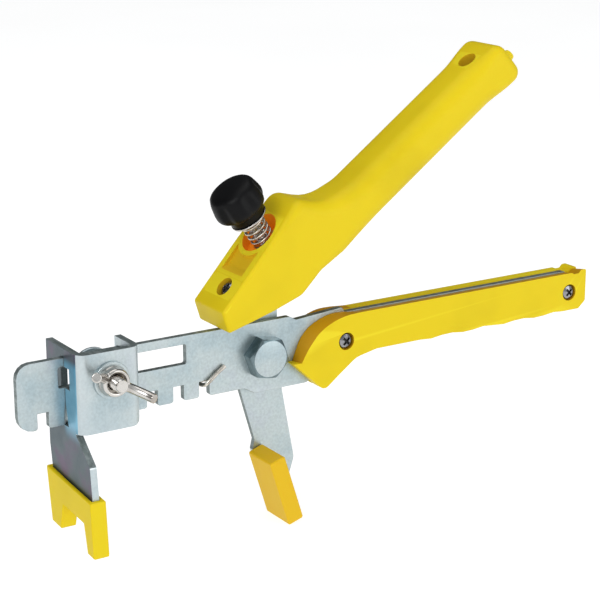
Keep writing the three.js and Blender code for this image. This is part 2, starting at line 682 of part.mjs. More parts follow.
// Lobed body: a turned blank cut by flutes that run along the axis
function tensionKnob() {
  const collar = KNOB_COLLAR - 0.3;
  const blank = turned([
    [0, -KNOB_HEIGHT],
    [5, -KNOB_HEIGHT + 0.5],
    [8.8, -KNOB_HEIGHT + 2.2],
    [KNOB_RADIUS, -KNOB_HEIGHT + 4.6],
    [KNOB_RADIUS, -5.2],
    [KNOB_RADIUS - 1, -4.2],
    [collar, -3.9],
    [collar, -1],
    [0, -1],
  ], seatPoint, screwDirection, 36);
  const flutes = Array.from({ length: 7 }, (_, k) => {
    const turn = (2 * Math.PI * k) / 7;
    const offset = new THREE.Vector3(Math.cos(turn), 0, Math.sin(turn)).multiplyScalar(KNOB_RADIUS + 2.6);
    const flute = new THREE.CylinderGeometry(3.6, 3.6, 16, 14).translate(offset.x, -12.1, offset.z);
    const aim = new THREE.Quaternion().setFromUnitVectors(
      new THREE.Vector3(0, 1, 0),
      new THREE.Vector3(...screwDirection),
    );
    return solid(flute.applyQuaternion(aim).translate(...seatPoint));
  });
  return cut(blank, [...flutes, screwRod(-12, 5, SCREW_RADIUS + FIT_GAP)]);
}

add("tension_knob", tensionKnob(), BLACK);
add("tension_screw", screwRod(-11.6, SCREW_TIP, SCREW_RADIUS, 20), NICKEL);
add("knob_washer", cut(screwRod(-0.9, -0.1, KNOB_COLLAR), [screwRod(-5, 5, SCREW_RADIUS + FIT_GAP)]), NICKEL);

function knobSpring() {
  const turns = 5;
  const length = RECESS_FLOOR - 2 * SPRING_WIRE - 0.4;
  const count = turns * 9;
  const aim = new THREE.Quaternion().setFromUnitVectors(
    new THREE.Vector3(0, 1, 0),
    new THREE.Vector3(...screwDirection),
  );
  const points = Array.from({ length: count + 1 }, (_, k) => {
    const turn = (2 * Math.PI * turns * k) / count;
    const height = SPRING_WIRE + 0.2 + (length * k) / count;
    const point = new THREE.Vector3(SPRING_RADIUS * Math.cos(turn), height, SPRING_RADIUS * Math.sin(turn));
    return point.applyQuaternion(aim).add(new THREE.Vector3(...seatPoint)).toArray();
  });
  return wire(points, SPRING_WIRE, 70, 6);
}

add("knob_spring", knobSpring(), SPRING_STEEL);
const insert = nutAlongScrew(10, RECESS_FLOOR + 3.5, RECESS_FLOOR + 8.5);
add("tension_nut", cut(insert, [screwRod(0, 60, SCREW_RADIUS + RUNNING_GAP)]), NICKEL);

// ---------------------------------------------------------------- front bracket
// The channel seen from above: front leg, web and rear leg of one bent sheet
function channelOutline() {
  const inner = BEND_RADIUS - SHEET;
  return outline([
    [LEG_FRONT, LEG_FAR],
    [LEG_FRONT, WEB_NEAR, BEND_RADIUS],
    [REAR_LEG_OUTER, WEB_NEAR, BEND_RADIUS],
    [REAR_LEG_OUTER, REAR_LEG_FAR],
    [REAR_LEG_OUTER - SHEET, REAR_LEG_FAR],
    [REAR_LEG_OUTER - SHEET, WEB_NEAR + SHEET, inner],
    [LEG_FRONT + SHEET, WEB_NEAR + SHEET, inner],
    [LEG_FRONT + SHEET, LEG_FAR],
  ]);
}

// A point of the fork, in Y and Z: across the fork and up from the cap's top edge
function inFork(across, up) {
  const [middle, top] = FORK_MIDDLE;
  return [
    middle + across * Math.cos(FORK_RISE) + up * Math.sin(FORK_LEAN),
    top + across * Math.sin(FORK_RISE) + up * Math.cos(FORK_LEAN),
  ];
}

// Fork prongs: the gap widens downwards; the steel stays inside the cap by the inset
function forkOutline(inset, top) {
  const wide = CAP_HALF_WIDTH - inset;
  const low = -CAP_HEIGHT + inset * 1.5;
  const gapTop = -11.6 + inset;
  return [
    inFork(wide, top),
    inFork(-wide, top),
    inFork(-wide + 1, low),
    inFork(-13.8 - inset, low),
    inFork(-12.4 - inset, gapTop),
    inFork(6.8 + inset, gapTop),
    inFork(11.2 + inset, low),
    inFork(wide - 1, low),
  ];
}

const FORK_INSET = 2.1;

function legOutline() {
  const [first, ...rest] = forkOutline(FORK_INSET, 0);
  const corners = [first, [LEG_FAR, -26], [LEG_FAR, BRACKET_TOP]];
  corners.push([WEB_NEAR + BEND_RADIUS, BRACKET_TOP], [WEB_NEAR + BEND_RADIUS, -13]);
  corners.push([-2.5, -15.2, 1], [-14.5, -25.6, 2]);
  return outline([...corners, ...rest]);
}

function frontBracket() {
  const channel = upright(channelOutline(), WEB_BOTTOM, BRACKET_TOP);
  const leg = facing(legOutline(), LEG_FRONT, LEG_FRONT + SHEET);
  const slotNear = PLATE_NEAR - FIT_GAP;
  const slotFar = PLATE_FAR + FIT_GAP;
  const slot = box(-200, 0, slotNear, slotFar, TEETH_BOTTOM - FIT_GAP, PLATE_TOP + FIT_GAP);
  const window = box(-100, -85, PLATE_NEAR - 4.6, PLATE_NEAR, 2.6, 11.6);
  const toothLow = TEETH_BOTTOM - FIT_GAP;
  const wedge = [[PLATE_NEAR - 0.4, -4], [PLATE_NEAR - 2.4, toothLow], [PLATE_FAR, toothLow]];
  const relief = facing(outline(wedge), -100, -85);
  const lift = box(REAR_LEG_OUTER - 8, REAR_LEG_OUTER + 1, PLATE_NEAR - 2, 30, -30, TEETH_BOTTOM + 1);
  const [x, z] = CLAMP_AXIS;
  const hole = rod(CLAMP_RADIUS + FIT_GAP, [x, -30, z], [x, 30, z], 20);
  return cut(channel.add(leg), [slot, window, relief, lift, hole, webCorner()]);
}

add("front_bracket", frontBracket(), ZINC);

// What is trimmed off the web's lower rear corner, leaving it round
function webCorner() {
  const rear = REAR_LEG_OUTER + 0.5;
  const low = WEB_BOTTOM - 0.5;
  const middle = [rear - WEB_CORNER, low + WEB_CORNER];
  const points = [new THREE.Vector2(rear + 1, low + WEB_CORNER), new THREE.Vector2(rear + 1, low - 1)];
  points.push(new THREE.Vector2(rear - WEB_CORNER, low - 1));
  for (let k = 0; k <= 6; k += 1) {
    const turn = (-Math.PI / 2) * (1 - k / 6);
    points.push(new THREE.Vector2(
      middle[0] + (WEB_CORNER - 0.5) * Math.cos(turn),
      middle[1] + (WEB_CORNER - 0.5) * Math.sin(turn),
    ));
  }
  return sideways(points, WEB_NEAR - 1, PLATE_NEAR);
}

function jawCap() {
  const corners = forkOutline(0, 0);
  const middle = LEG_FRONT + SHEET / 2;
  const cap = facing(outline(corners), middle - CAP_DEPTH / 2, middle + CAP_DEPTH / 2, 0.5);
  const socket = grown(outline(forkOutline(FORK_INSET, 6)), FIT_GAP);
  return cut(cap, [facing(socket, LEG_FRONT - FIT_GAP, LEG_FRONT + SHEET + FIT_GAP)]);
}

add("jaw_cap", jawCap(), YELLOW);

// ---------------------------------------------------------------- clamp
const [clampX, clampZ] = CLAMP_AXIS;
const CLAMP_WASHER_FAR = PLATE_FAR + FIT_GAP + 1.6;

function clampRing(inner, outer, near, far, sides = 28) {
  const profile = [[inner, near], [outer, near], [outer, far], [inner, far], [inner, near]];
  return turned(profile, [clampX, 0, clampZ], [0, 1, 0], sides);
}

function clampBolt() {
  const shank = rod(CLAMP_RADIUS, [clampX, CLAMP_BOLT_END, clampZ], [clampX, CLAMP_WASHER_FAR + 1, clampZ]);
  const near = CLAMP_WASHER_FAR;
  const dome = turned([[0, near], [6.6, near], [6.4, near + 1.2], [4.6, near + 2.8], [0, near + 3.6]],
    [clampX, 0, clampZ], [0, 1, 0]);
  return shank.add(dome);
}

add("clamp_bolt", clampBolt(), NICKEL);
const washerNear = PLATE_FAR + FIT_GAP;
add("clamp_washer", clampRing(CLAMP_RADIUS + RUNNING_GAP, 9.1, washerNear, CLAMP_WASHER_FAR), ZINC);

const WING_WASHER = 1.4;
const BARREL_HEIGHT = 4.6;
const NUT_SEAT = WEB_NEAR - WING_WASHER - 0.1;
add("wing_washer", clampRing(CLAMP_RADIUS + RUNNING_GAP, 7.8, NUT_SEAT, WEB_NEAR - 0.05), ZINC);

// Wing nut: a tapered barrel and two rounded wings that rise past its face
function wingNut() {
  const face = NUT_SEAT - 0.05;
  const barrel = turned([
    [0, face - BARREL_HEIGHT],
    [5.3, face - BARREL_HEIGHT],
    [6, face - BARREL_HEIGHT + 0.9],
    [6.7, face - 1.8],
    [6.7, face],
    [0, face],
  ], [clampX, 0, clampZ], [0, 1, 0], 28);
  const half = WING_SPAN / 2;
  const wing = outline([
    [4.2, face - 1],
    [8.4, face - 2.4, 2],
    [half - 2.6, face - 7.2, 4],
    [half + 0.4, face - 12.4, 2],
    [half - 3, face - 14.5, 2],
    [half - 6.6, face - 9.8, 4],
    [7, face - 6.4, 2],
    [4.2, face - BARREL_HEIGHT + 0.3],
  ]);
  const wings = [0, Math.PI].map((turn) => {
    const slab = new THREE.ExtrudeGeometry(new THREE.Shape(wing), { depth: WING_THICKNESS, bevelEnabled: false });
    const aim = -WING_TILT + turn;
    return solid(slab.translate(0, 0, -WING_THICKNESS / 2).rotateY(aim).translate(clampX, 0, clampZ));
  });
  const mouth = face - BARREL_HEIGHT;
  const countersink = turned([[0, mouth - 4], [4.5, mouth - 4], [4.5, mouth], [0, mouth + 4.5]],
    [clampX, 0, clampZ], [0, 1, 0]);
  return cut(joined([barrel, ...wings]), [
    rod(CLAMP_RADIUS + RUNNING_GAP, [clampX, -40, clampZ], [clampX, 0, clampZ]),
    countersink,
  ]);
}

add("wing_nut", wingNut(), NICKEL);

export default pliers;
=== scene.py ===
"""Looks for the tile levelling pliers: zinc-plated plates, yellow mouldings, springs, screws and knob.

Everything is in metres in the CAD frame: the origin is on the pivot axis in the bolt head's face,
+X runs along the toothed plate towards the handles, +Y away from the bolt head, and +Z up.
"""

import math

import bmesh
import bpy
from mathutils import Matrix, Vector


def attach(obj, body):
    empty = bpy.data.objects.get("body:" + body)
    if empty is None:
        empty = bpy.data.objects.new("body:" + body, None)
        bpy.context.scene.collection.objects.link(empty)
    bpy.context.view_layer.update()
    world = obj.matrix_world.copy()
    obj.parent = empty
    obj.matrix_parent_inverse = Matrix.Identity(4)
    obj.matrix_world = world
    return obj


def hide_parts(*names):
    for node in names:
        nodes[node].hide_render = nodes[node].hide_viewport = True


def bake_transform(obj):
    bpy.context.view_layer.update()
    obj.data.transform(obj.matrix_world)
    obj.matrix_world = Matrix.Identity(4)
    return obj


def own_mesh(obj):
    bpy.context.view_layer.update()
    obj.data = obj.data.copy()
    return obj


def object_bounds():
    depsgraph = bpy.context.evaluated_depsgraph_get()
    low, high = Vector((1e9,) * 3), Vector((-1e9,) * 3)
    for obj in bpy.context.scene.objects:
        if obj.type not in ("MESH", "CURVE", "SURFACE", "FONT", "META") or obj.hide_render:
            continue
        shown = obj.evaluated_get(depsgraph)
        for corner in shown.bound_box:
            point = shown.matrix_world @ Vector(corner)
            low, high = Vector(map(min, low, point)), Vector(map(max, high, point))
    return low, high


MM = 0.001
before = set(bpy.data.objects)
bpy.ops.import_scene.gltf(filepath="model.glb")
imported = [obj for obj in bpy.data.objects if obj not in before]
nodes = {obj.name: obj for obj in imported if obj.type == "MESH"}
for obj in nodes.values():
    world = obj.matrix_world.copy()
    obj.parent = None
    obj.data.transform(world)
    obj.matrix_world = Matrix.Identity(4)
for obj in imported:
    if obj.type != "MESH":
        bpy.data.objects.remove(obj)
cad_low, cad_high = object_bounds()

# ---------------------------------------------------------------- shared sizes, in millimetres (areas in m2)
PLATE_NEAR = 6.4
PLATE_FAR = 9.4
LEVER_NEAR = 9.8
LEVER_FAR = 12.3
TAB_FAR = 9
TAB_FACE_AREA = 1.2e-4
FIRST_NOTCH = -106.4
NOTCH_PITCH = 12.44
NOTCH_HALF = 2.5
HANDLE_POINT = (55.8, 68.6)
HANDLE_ANGLE = math.radians(36)
HANDLE_HALF_HEIGHT = 10.2
HANDLE_LENGTH = 88
HANDLE_MIDDLE = 9.1
HANDLE_WIDTH = 25.6
NOSE_TOP = (-25.4, 25.4)
FACE_ANGLE = math.radians(51.6)
TAB_SCREW_Y = 7.4
FACE_SCREW_SEAT = (10.8, 4.0)
HANDLE_SCREW_SEAT = (71.8, 4.0)
SCREW_WELL_DEPTH = 14
SCREW_WELL_RADIUS = 4.3
KNOB_SEAT = (-4.6, 61.0)
KNOB_ANGLE = math.radians(-55)
SCREW_DIRECTION = (math.cos(KNOB_ANGLE), 0, math.sin(KNOB_ANGLE))
SCREW_ORIGIN = (KNOB_SEAT[0], HANDLE_MIDDLE, KNOB_SEAT[1])
KNOB_RADIUS = 11.8
KNOB_COLLAR = 8.1
KNOB_HEIGHT = 18.0
KNOB_LOBES = 6
RECESS_RADIUS = 9.2
RIM_RADIUS = 11.4
DISH_HALF_WIDTH = 8.4
STUB_RADIUS = 2.6
STUB_LENGTH = 8
NOSE_ROUND = 1.5
FULL_ROUND = 8.4
END_ROUND = 4.4
RECESS_FLOOR = 14.5
SCREW_RADIUS = 3.0
SCREW_TIP = 27.5
SCREW_PITCH = 1.0
SPRING_RADIUS = 4.9
SPRING_WIRE = 0.6
SPRING_TURNS = 5
COIL_RADIUS = 9.0
COIL_PITCH = 1.95
COIL_TURNS = 2.75
COIL_WIRE = 0.95
LEG_FRONT = -93.9
CLAMP_AXIS = (-79.5, 7.2)
CLAMP_RADIUS = 3.0
CLAMP_END = -17.1
CLAMP_HEAD_RADIUS = 6.6
NUT_SEAT = -8.3
WING_TILT = math.radians(-28)
WING_RADIUS = 2.1
HEAD_FLATS = 17.0
HEAD_HEIGHT = 6.4
HEAD_TWIST = 40
HEAD_FACE_SHARE = 0.97
PIVOT_RADIUS = 5.0
PIVOT_PITCH = 1.5
SHANK_END = 22.2
PIVOT_END = 30.0
FLOOR_GLOW = 0.80
RECESS_GLOW = 0.12
FLOOR_DROP = 0.2

# The camera: its lens in millimetres, its place in metres and its own right and up directions.
CAMERA_LENS = 107.55
CAMERA_PLACE = (-0.38081, -0.62626, 0.23820)
CAMERA_RIGHT = (0.844938, -0.534858, -0.002622)
CAMERA_UP = (0.150607, 0.233211, 0.960693)


# ---------------------------------------------------------------- outlines and frames
def placed(origin, angle, along, across=0.0):
    """A point in a turned plane frame: along, then across, from the origin."""
    c, s = math.cos(angle), math.sin(angle)
    return (origin[0] + along * c - across * s, origin[1] + along * s + across * c)


def on_face(along, depth=0.0):
    return placed(NOSE_TOP, FACE_ANGLE, along, -depth)


def on_handle(along, across=0.0):
    return placed(HANDLE_POINT, HANDLE_ANGLE, along, across)


def rounded(corners, step=0.16):
    """An outline whose corners (a, b, radius) are rounded with true arcs."""
    points = []
    count = len(corners)
    for i, corner in enumerate(corners):
        here = Vector(corner[:2])
        radius = corner[2] if len(corner) > 2 else 0
        if not radius:
            points.append(here)
            continue
        back = (Vector(corners[i - 1][:2]) - here).normalized()
        ahead = (Vector(corners[(i + 1) % count][:2]) - here).normalized()
        half = back.angle(ahead) / 2
        centre = here + (back + ahead).normalized() * (radius / math.sin(half))
        start = here + back * (radius / math.tan(half)) - centre
        sweep = start.angle_signed(here + ahead * (radius / math.tan(half)) - centre)
        steps = max(3, int(abs(sweep) / step))
        for k in range(steps + 1):
            a = -sweep * k / steps
            points.append(centre + Matrix.Rotation(a, 2) @ start)
    return points


# ---------------------------------------------------------------- mesh making
def new_object(name, mesh_data, body=None, replaced=()):
    obj = bpy.data.objects.new(name, mesh_data)
    bpy.context.scene.collection.objects.link(obj)
    if body:
        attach(obj, body)
    if replaced:
        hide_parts(*replaced)
    return obj


def from_bmesh(name, bm):
    mesh = bpy.data.meshes.new(name)
    bmesh.ops.recalc_face_normals(bm, faces=bm.faces)
    bm.to_mesh(mesh)
    bm.free()
    return mesh


def prism(points, near, far):
    """A closed prism: an outline in X and Z between two distances along Y, all in millimetres."""
    bm = bmesh.new()
    rows = []
    for y in (near, far):
        rows.append([bm.verts.new((p[0] * MM, y * MM, p[1] * MM)) for p in points])
    bm.faces.new(rows[0])
    bm.faces.new(reversed(rows[1]))
    count = len(points)
    for i in range(count):
        j = (i + 1) % count
        bm.faces.new((rows[0][j], rows[0][i], rows[1][i], rows[1][j]))
    return bm


def spun(rows, sides, origin, direction, shape=None):
    """A turned body. rows are (radius, height) from one end on the axis to the other, in
    millimetres; shape(angle, height, radius) may change a radius."""
    bm = bmesh.new()
    aim = Vector(direction).to_track_quat("Z", "Y")
    base = Vector(origin)

    def at(radius, height, angle):
        local = Vector((radius * math.cos(angle), radius * math.sin(angle), height))
        return bm.verts.new((base + aim @ local) * MM)

    rings = []
    for radius, height in rows:
        if radius < 1e-6:
            rings.append([at(0, height, 0)])
            continue
        ring = []
        for k in range(sides):
            angle = 2 * math.pi * k / sides
            r = shape(angle, height, radius) if shape else radius
            ring.append(at(r, height, angle))
        rings.append(ring)
    for low, high in zip(rings, rings[1:]):
        for k in range(sides):
            j = (k + 1) % sides
            if len(low) == 1:
                bm.faces.new((low[0], high[j], high[k]))
            elif len(high) == 1:
                bm.faces.new((low[k], low[j], high[0]))
            else:
                bm.faces.new((low[k], low[j], high[j], high[k]))
    if len(rings[0]) > 1 and len(rings[-1]) > 1:
        for k in range(sides):
            j = (k + 1) % sides
            bm.faces.new((rings[-1][k], rings[-1][j], rings[0][j], rings[0][k]))
    return bm


def threaded(radius, pitch, depth, low, high, origin, direction, sides=32):
    """A rod with a real helical thread: the surface is a grid whose radius follows the helix."""
    per_turn = 8
    steps = int((high - low) / pitch * per_turn)
    rows = [(0, low), (radius - depth, low)]
    run = high - low - 1.2 * pitch
    rows += [(radius, low + 0.6 * pitch + run * k / steps) for k in range(steps + 1)]
    rows += [(radius - depth, high), (0, high)]

    def helix(angle, height, r):
        if r < radius - depth / 2:
            return r
        phase = (height / pitch - angle / (2 * math.pi)) % 1.0
        ends = min(1.0, (height - low) / pitch, (high - height) / pitch)
        return radius - depth * (1 - ends) - depth * ends * abs(2 * phase - 1) ** 0.8

    return spun(rows, sides, origin, direction, helix)


def tube(points, radius, sides=12):
    """A round wire along points in millimetres, with flat ends and no twist."""
    bm = bmesh.new()
    path = [Vector(p) for p in points]
    side = None
    rings = []
    last = len(path) - 1
    for i, here in enumerate(path):
        tangent = (path[min(i + 1, last)] - path[max(i - 1, 0)]).normalized()
        side = tangent.orthogonal() if side is None else side - tangent * side.dot(tangent)
        side.normalize()
        up = tangent.cross(side)
        ring = []
        for k in range(sides):
            a = 2 * math.pi * k / sides
            ring.append(bm.verts.new((here + radius * (side * math.cos(a) + up * math.sin(a))) * MM))
        rings.append(ring)
    for low, high in zip(rings, rings[1:]):
        for k in range(sides):
            j = (k + 1) % sides
            bm.faces.new((low[k], low[j], high[j], high[k]))
    bm.faces.new(reversed(rings[0]))
    bm.faces.new(rings[-1])
    return bm


def smooth_path(points, per_span=8):
    """A Catmull-Rom curve through the points."""
    path = [Vector(p) for p in points]
    out = []
    for i in range(len(path) - 1):
        p0 = path[max(i - 1, 0)]
        p1, p2 = path[i], path[i + 1]
        p3 = path[min(i + 2, len(path) - 1)]
        for k in range(per_span):
            t = k / per_span
            out.append(0.5 * ((2 * p1) + (p2 - p0) * t + (2 * p0 - 5 * p1 + 4 * p2 - p3) * t * t
                              + (3 * p1 - p0 - 3 * p2 + p3) * t ** 3))
    out.append(path[-1])
    return out


def soften(obj, width, segments=3, angle=30):
    """Rounds the sharp edges by a small real bevel and shades the rest smooth."""
    bevel = obj.modifiers.new("edges", "BEVEL")
    bevel.width = width * MM
    bevel.segments = segments
    bevel.limit_method = "ANGLE"
    bevel.angle_limit = math.radians(angle)
    bevel.loop_slide = False
    bevel.miter_outer = "MITER_ARC"
    normals = obj.modifiers.new("normals", "WEIGHTED_NORMAL")
    normals.keep_sharp = True
    shade(obj, 40)


def shade(obj, angle=35):
    mesh = obj.data
    mesh.polygons.foreach_set("use_smooth", [True] * len(mesh.polygons))
    mesh.set_sharp_from_angle(angle=math.radians(angle))


def refined(node, body, width, segments=3, angle=30):
    """A cleaned copy of a CAD node with real rounded edges, standing in for it."""
    bm = bmesh.new()
    bm.from_mesh(nodes[node].data)
    bmesh.ops.remove_doubles(bm, verts=bm.verts, dist=2e-6)
    bmesh.ops.dissolve_limit(
        bm, angle_limit=math.radians(1.0), verts=bm.verts, edges=bm.edges
    )
    name = node + "_finished"
    obj = new_object(name, from_bmesh(name, bm), body, [node])
    obj.data.materials.clear()
    soften(obj, width, segments, angle)
    return obj


def apply_modifiers(obj):
    """Turns an object's modifiers into its mesh."""
    depsgraph = bpy.context.evaluated_depsgraph_get()
    mesh = bpy.data.meshes.new_from_object(obj.evaluated_get(depsgraph))
    obj.modifiers.clear()
    obj.data = mesh


def carve(obj, cutters):
    """Cuts closed meshes out of an object; each cut's walls take the material given with it."""
    for mesh, mat in cutters:
        mesh.materials.clear()
        mesh.materials.append(mat)
        for polygon in mesh.polygons:
            polygon.material_index = 0
        cutter = bpy.data.objects.new("cutter", mesh)
        bpy.context.scene.collection.objects.link(cutter)
        boolean = obj.modifiers.new("cut", "BOOLEAN")
        boolean.object = cutter
        boolean.operation = "DIFFERENCE"
        boolean.solver = "EXACT"
        boolean.material_mode = "TRANSFER"
        apply_modifiers(obj)
        bpy.data.objects.remove(cutter)


# ---------------------------------------------------------------- materials
def material(name):
    mat = bpy.data.materials.new(name)
    mat.use_nodes = True
    tree = mat.node_tree
    return mat, tree, tree.nodes["Principled BSDF"]


def noise(tree, scale, detail=4.0, roughness=0.55, stretch=(1, 1, 1)):
    coords = tree.nodes.new("ShaderNodeTexCoord")
    mapping = tree.nodes.new("ShaderNodeMapping")
    mapping.inputs["Scale"].default_value = stretch
    field = tree.nodes.new("ShaderNodeTexNoise")
    field.inputs["Scale"].default_value = scale
    field.inputs["Detail"].default_value = detail
    field.inputs["Roughness"].default_value = roughness
    tree.links.new(coords.outputs["Object"], mapping.inputs["Vector"])
    tree.links.new(mapping.outputs["Vector"], field.inputs["Vector"])
    return field.outputs["Fac"]


def ramp(tree, value, stops):
    node = tree.nodes.new("ShaderNodeValToRGB")
    node.color_ramp.elements[0].position = stops[0][0]
    node.color_ramp.elements[0].color = (*stops[0][1], 1)
    node.color_ramp.elements[1].position = stops[-1][0]
    node.color_ramp.elements[1].color = (*stops[-1][1], 1)
    for position, colour in stops[1:-1]:
        element = node.color_ramp.elements.new(position)
        element.color = (*colour, 1)
    tree.links.new(value, node.inputs["Fac"])
    return node.outputs["Color"]


def spread(tree, value, low, high):
    node = tree.nodes.new("ShaderNodeMapRange")
    node.inputs["To Min"].default_value = low
    node.inputs["To Max"].default_value = high
    tree.links.new(value, node.inputs["Value"])
    return node.outputs["Result"]


def mixed(tree, amount, first, second, kind="MIX"):
    node = tree.nodes.new("ShaderNodeMix")
    node.data_type = "RGBA"
    node.blend_type = kind
    if isinstance(amount, float):
        node.inputs[0].default_value = amount
    else:
        tree.links.new(amount, node.inputs[0])
    for socket, value in ((node.inputs[6], first), (node.inputs[7], second)):
        if isinstance(value, tuple):
            socket.default_value = (*value, 1)
        else:
            tree.links.new(value, socket)
    return node.outputs[2]


def bump(tree, shader, height, strength, distance):
    node = tree.nodes.new("ShaderNodeBump")
    node.inputs["Strength"].default_value = strength
    node.inputs["Distance"].default_value = distance
    tree.links.new(height, node.inputs["Height"])
    tree.links.new(node.outputs["Normal"], shader.inputs["Normal"])


def pale_edge_highlight(tree, low=0.53, high=0.62):
    """Grows from 0 to 1 on convex edges: the mask of a painted edge highlight."""
    geometry = tree.nodes.new("ShaderNodeNewGeometry")
    node = tree.nodes.new("ShaderNodeMapRange")
    node.inputs["From Min"].default_value = low
    node.inputs["From Max"].default_value = high
    tree.links.new(geometry.outputs["Pointiness"], node.inputs["Value"])
    return node.outputs["Result"]


def zinc_face():
    """Blue-white zinc plating: cloudy passivate with a faint lilac and green cast, and convex edges painted
    paler as a highlight.
    """
    mat, tree, shader = material("zinc_face")
    clouds = noise(tree, 38, 6, 0.62)
    tint = ramp(tree, clouds, [
        (0.30, (0.34, 0.43, 0.47)),
        (0.44, (0.42, 0.51, 0.54)),
        (0.58, (0.50, 0.57, 0.58)),
        (0.74, (0.47, 0.52, 0.57)),
    ])
    specks = ramp(tree, noise(tree, 900, 3), [(0.35, (0.82, 0.82, 0.82)), (0.65, (1.0, 1.0, 1.0))])
    streaked = mixed(tree, 0.8, tint, specks, "MULTIPLY")
    # convex edges painted paler: painted highlight
    bright = mixed(tree, pale_edge_highlight(tree), streaked, (0.66, 0.71, 0.73))
    tree.links.new(bright, shader.inputs["Base Color"])
    shader.inputs["Metallic"].default_value = 0.86
    tree.links.new(spread(tree, noise(tree, 120, 5), 0.26, 0.44), shader.inputs["Roughness"])
    bump(tree, shader, noise(tree, 650, 4, 0.6, (1, 1, 0.35)), 0.14, 0.00008)
    return mat


def zinc_leg_dark_reflection():
    """The bracket's front leg: dull slate with lilac blotches, its darkness a painted dark
    reflection, and blue passivate on the strip between the bend and the plate."""
    mat, tree, shader = material("zinc_leg_dark_reflection")
    coords = tree.nodes.new("ShaderNodeTexCoord")
    split = tree.nodes.new("ShaderNodeSeparateXYZ")
    tree.links.new(coords.outputs["Object"], split.inputs["Vector"])
    masks = []
    for axis, start, end in (("Z", -0.020, -0.010), ("Z", 0.0165, 0.0125), ("Y", 0.0095, 0.0050)):
        mask = tree.nodes.new("ShaderNodeMapRange")
        mask.interpolation_type = "SMOOTHSTEP"
        mask.inputs["From Min"].default_value = start
        mask.inputs["From Max"].default_value = end
        tree.links.new(split.outputs[axis], mask.inputs["Value"])
        masks.append(mask.outputs["Result"])
    strip = masks[0]
    for mask in masks[1:]:
        times = tree.nodes.new("ShaderNodeMath")
        times.operation = "MULTIPLY"
        tree.links.new(strip, times.inputs[0])
        tree.links.new(mask, times.inputs[1])
        strip = times.outputs["Value"]
    slate_dark_reflection = ramp(tree, noise(tree, 60, 5, 0.6), [
        (0.36, (0.060, 0.090, 0.105)),
        (0.52, (0.080, 0.110, 0.125)),
        (0.68, (0.115, 0.085, 0.135)),
    ])
    blue = ramp(tree, noise(tree, 48, 4), [
        (0.32, (0.120, 0.330, 0.480)),
        (0.66, (0.230, 0.480, 0.620)),
    ])
    tree.links.new(mixed(tree, strip, slate_dark_reflection, blue), shader.inputs["Base Color"])
    shader.inputs["Metallic"].default_value = 0.75
    tree.links.new(spread(tree, noise(tree, 160, 5), 0.26, 0.46), shader.inputs["Roughness"])
    bump(tree, shader, noise(tree, 650, 4, 0.6, (0.35, 1, 1)), 0.16, 0.00008)
    return mat


def zinc_edge_painted_shade():
    """The sheared edge of the sheet: painted darker as shade, with fine drag lines across its thickness."""
    mat, tree, shader = material("zinc_edge_painted_shade")
    drag = noise(tree, 500, 4, 0.7, (1, 0.12, 1))
    tree.links.new(ramp(tree, drag, [
        (0.30, (0.12, 0.15, 0.15)),
        (0.52, (0.22, 0.26, 0.26)),
        (0.72, (0.36, 0.40, 0.40)),
    ]), shader.inputs["Base Color"])
    shader.inputs["Metallic"].default_value = 0.7
    tree.links.new(spread(tree, drag, 0.42, 0.6), shader.inputs["Roughness"])
    bump(tree, shader, drag, 0.35, 0.0001)
    return mat


def polished(name, dull, bright, low=0.10, high=0.26):
    """Polished plating with fine turning marks and a little tarnish."""
    mat, tree, shader = material(name)
    tree.links.new(ramp(tree, noise(tree, 160, 5), [(0.34, dull), (0.6, bright)]),
                   shader.inputs["Base Color"])
    shader.inputs["Metallic"].default_value = 1.0
    tree.links.new(spread(tree, noise(tree, 300, 4), low, high), shader.inputs["Roughness"])
    bump(tree, shader, noise(tree, 1400, 3), 0.08, 0.00004)
    return mat


def spring_wire():
    mat, tree, shader = material("spring_wire")
    tree.links.new(ramp(tree, noise(tree, 420, 4), [
        (0.35, (0.42, 0.38, 0.33)),
        (0.65, (0.70, 0.66, 0.60)),
    ]), shader.inputs["Base Color"])
    shader.inputs["Metallic"].default_value = 1.0
    tree.links.new(spread(tree, noise(tree, 700, 3), 0.18, 0.34), shader.inputs["Roughness"])
    bump(tree, shader, noise(tree, 2200, 2), 0.1, 0.00003)
    return mat


def yellow_plastic(name, tone):
    """Yellow moulding: slight flow clouding, a satin skin and paler convex edges, a painted edge highlight.
    """
    mat, tree, shader = material(name)
    deep = tuple(0.90 * c for c in tone)
    highlight_tone = (min(1.0, tone[0] * 1.07), min(1.0, tone[1] * 1.14), tone[2] * 2.0)
    flow = ramp(tree, noise(tree, 22, 3, 0.5), [(0.32, deep), (0.52, tone), (0.75, tone)])
    tree.links.new(mixed(tree, pale_edge_highlight(tree), flow, highlight_tone), shader.inputs["Base Color"])
    tree.links.new(spread(tree, noise(tree, 180, 4), 0.40, 0.54), shader.inputs["Roughness"])
    shader.inputs["Subsurface Weight"].default_value = 0.10
    shader.inputs["Subsurface Radius"].default_value = (1.0, 0.45, 0.06)
    shader.inputs["Subsurface Scale"].default_value = 0.002
    shader.inputs["Specular IOR Level"].default_value = 0.14
    bump(tree, shader, noise(tree, 1500, 3, 0.6), 0.10, 0.00006)
    return mat


def recess_painted_glow():
    """The inner wall of a moulded recess: painted deep orange with a painted glow that stands in for light
    bouncing inside it.
    """
    mat, tree, shader = material("recess_painted_glow")
    tree.links.new(ramp(tree, noise(tree, 60, 3), [
        (0.35, (0.80, 0.26, 0.010)),
        (0.65, (0.90, 0.36, 0.012)),
    ]), shader.inputs["Base Color"])
    # painted glow: the wall emits light of its own
    shader.inputs["Emission Color"].default_value = (0.95, 0.26, 0.01, 1)
    shader.inputs["Emission Strength"].default_value = RECESS_GLOW
    tree.links.new(spread(tree, noise(tree, 180, 4), 0.34, 0.5), shader.inputs["Roughness"])
    shader.inputs["Specular IOR Level"].default_value = 0.3
    bump(tree, shader, noise(tree, 1500, 3, 0.6), 0.10, 0.00006)
    return mat


